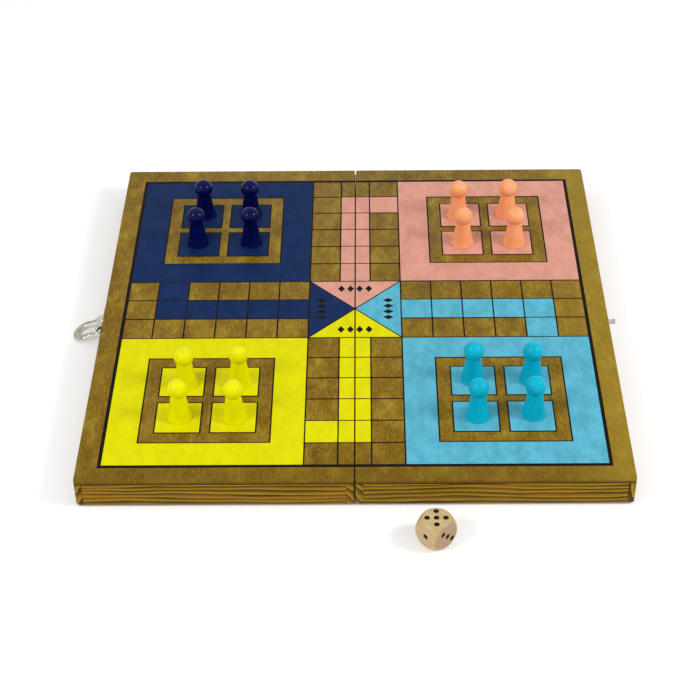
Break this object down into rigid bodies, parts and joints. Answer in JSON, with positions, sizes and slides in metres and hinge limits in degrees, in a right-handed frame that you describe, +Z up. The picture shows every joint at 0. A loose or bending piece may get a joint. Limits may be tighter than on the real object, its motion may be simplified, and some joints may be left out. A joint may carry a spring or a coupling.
{
  "type": "folding ludo board box",
  "caption": "Printed wooden ludo board hinged along its middle, which folds into a shallow box held by a swing clasp, set out with plastic pawns and a wooden die.",
  "frame": {"origin": "on the fold's hinge axis, level with the middle of the print; the rims of the open halves lie 0.15 mm above it", "axes": "+X to the right across the fold, +Y along the fold to the back of the board, +Z up out of the printed side"},
  "size_m": [0.3208, 0.331, 0.0433],
  "materials": {
    "stained_plywood": "stained and matt lacquered plywood",
    "stained_pine": "stained pine, long grain",
    "stained_pine_ends": "stained pine, side rails with their end grain at the front",
    "ink_blue": "screen printed ink",
    "ink_pink": "screen printed ink",
    "ink_yellow": "screen printed ink",
    "ink_cyan": "screen printed ink",
    "ink_black": "screen printed ink",
    "hinge_brass": "brass plated steel",
    "pin_steel": "drawn steel wire",
    "clasp_nickel": "nickel plated pressed steel",
    "pawn_blue": "moulded gloss plastic",
    "pawn_pink": "moulded gloss plastic",
    "pawn_yellow": "moulded gloss plastic",
    "pawn_cyan": "moulded gloss plastic",
    "die_beech": "turned and waxed beech",
    "pip_paint": "black paint"
  },
  "bodies": {
    "left_half": {"left_panel": "stained_plywood", "left_front_rail": "stained_pine", "left_back_rail": "stained_pine", "left_outer_rail": "stained_pine_ends", "left_spine_rail": "stained_pine_ends", "left_print_blue": "ink_blue", "left_print_pink": "ink_pink", "left_print_yellow": "ink_yellow", "left_print_lines": "ink_black", "left_hinge_leaves": "hinge_brass", "left_hinge_screws": "hinge_brass", "hinge_pins": "pin_steel", "clasp_plate": "clasp_nickel", "clasp_nails": "clasp_nickel"},
    "right_half": {"right_panel": "stained_plywood", "right_front_rail": "stained_pine", "right_back_rail": "stained_pine", "right_outer_rail": "stained_pine_ends", "right_spine_rail": "stained_pine_ends", "right_print_pink": "ink_pink", "right_print_cyan": "ink_cyan", "right_print_yellow": "ink_yellow", "right_print_lines": "ink_black", "right_hinge_leaves": "hinge_brass", "right_hinge_screws": "hinge_brass", "catch_plate": "clasp_nickel", "catch_nails": "clasp_nickel"},
    "clasp_loop": {"clasp_loop": "clasp_nickel"},
    "pawn_blue_1": {"pawn_blue_1": "pawn_blue"},
    "pawn_blue_2": {"pawn_blue_2": "pawn_blue"},
    "pawn_blue_3": {"pawn_blue_3": "pawn_blue"},
    "pawn_blue_4": {"pawn_blue_4": "pawn_blue"},
    "pawn_pink_1": {"pawn_pink_1": "pawn_pink"},
    "pawn_pink_2": {"pawn_pink_2": "pawn_pink"},
    "pawn_pink_3": {"pawn_pink_3": "pawn_pink"},
    "pawn_pink_4": {"pawn_pink_4": "pawn_pink"},
    "pawn_yellow_1": {"pawn_yellow_1": "pawn_yellow"},
    "pawn_yellow_2": {"pawn_yellow_2": "pawn_yellow"},
    "pawn_yellow_3": {"pawn_yellow_3": "pawn_yellow"},
    "pawn_yellow_4": {"pawn_yellow_4": "pawn_yellow"},
    "pawn_cyan_1": {"pawn_cyan_1": "pawn_cyan"},
    "pawn_cyan_2": {"pawn_cyan_2": "pawn_cyan"},
    "pawn_cyan_3": {"pawn_cyan_3": "pawn_cyan"},
    "pawn_cyan_4": {"pawn_cyan_4": "pawn_cyan"},
    "die": {"die": "die_beech", "die_pips": "pip_paint"}
  },
  "joints": [
    {"name": "fold", "type": "hinge", "parent": "left_half", "child": "right_half", "pos_m": [0, 0, 0], "axis": [0, 1, 0], "range_deg": [0, 180]},
    {"name": "clasp_swing", "type": "hinge", "parent": "left_half", "child": "clasp_loop", "pos_m": [-0.15025, -0.0006, 0.00655], "axis": [0, 1, 0], "range_deg": [-66, 110]},
    {"name": "pawn_blue_1_lift", "type": "slide", "parent": "left_half", "child": "pawn_blue_1", "axis": [0, 0, 1], "range_m": [0, 0.03]},
    {"name": "pawn_blue_2_lift", "type": "slide", "parent": "left_half", "child": "pawn_blue_2", "axis": [0, 0, 1], "range_m": [0, 0.03]},
    {"name": "pawn_blue_3_lift", "type": "slide", "parent": "left_half", "child": "pawn_blue_3", "axis": [0, 0, 1], "range_m": [0, 0.03]},
    {"name": "pawn_blue_4_lift", "type": "slide", "parent": "left_half", "child": "pawn_blue_4", "axis": [0, 0, 1], "range_m": [0, 0.03]},
    {"name": "pawn_pink_1_lift", "type": "slide", "parent": "right_half", "child": "pawn_pink_1", "axis": [0, 0, 1], "range_m": [0, 0.03]},
    {"name": "pawn_pink_2_lift", "type": "slide", "parent": "right_half", "child": "pawn_pink_2", "axis": [0, 0, 1], "range_m": [0, 0.03]},
    {"name": "pawn_pink_3_lift", "type": "slide", "parent": "right_half", "child": "pawn_pink_3", "axis": [0, 0, 1], "range_m": [0, 0.03]},
    {"name": "pawn_pink_4_lift", "type": "slide", "parent": "right_half", "child": "pawn_pink_4", "axis": [0, 0, 1], "range_m": [0, 0.03]},
    {"name": "pawn_yellow_1_lift", "type": "slide", "parent": "left_half", "child": "pawn_yellow_1", "axis": [0, 0, 1], "range_m": [0, 0.03]},
    {"name": "pawn_yellow_2_lift", "type": "slide", "parent": "left_half", "child": "pawn_yellow_2", "axis": [0, 0, 1], "range_m": [0, 0.03]},
    {"name": "pawn_yellow_3_lift", "type": "slide", "parent": "left_half", "child": "pawn_yellow_3", "axis": [0, 0, 1], "range_m": [0, 0.03]},
    {"name": "pawn_yellow_4_lift", "type": "slide", "parent": "left_half", "child": "pawn_yellow_4", "axis": [0, 0, 1], "range_m": [0, 0.03]},
    {"name": "pawn_cyan_1_lift", "type": "slide", "parent": "right_half", "child": "pawn_cyan_1", "axis": [0, 0, 1], "range_m": [0, 0.03]},
    {"name": "pawn_cyan_2_lift", "type": "slide", "parent": "right_half", "child": "pawn_cyan_2", "axis": [0, 0, 1], "range_m": [0, 0.03]},
    {"name": "pawn_cyan_3_lift", "type": "slide", "parent": "right_half", "child": "pawn_cyan_3", "axis": [0, 0, 1], "range_m": [0, 0.03]},
    {"name": "pawn_cyan_4_lift", "type": "slide", "parent": "right_half", "child": "pawn_cyan_4", "axis": [0, 0, 1], "range_m": [0, 0.03]},
    {"name": "die_lift", "type": "slide", "parent": "left_half", "child": "die", "axis": [0, 0, 1], "range_m": [0, 0.03]}
  ]
}
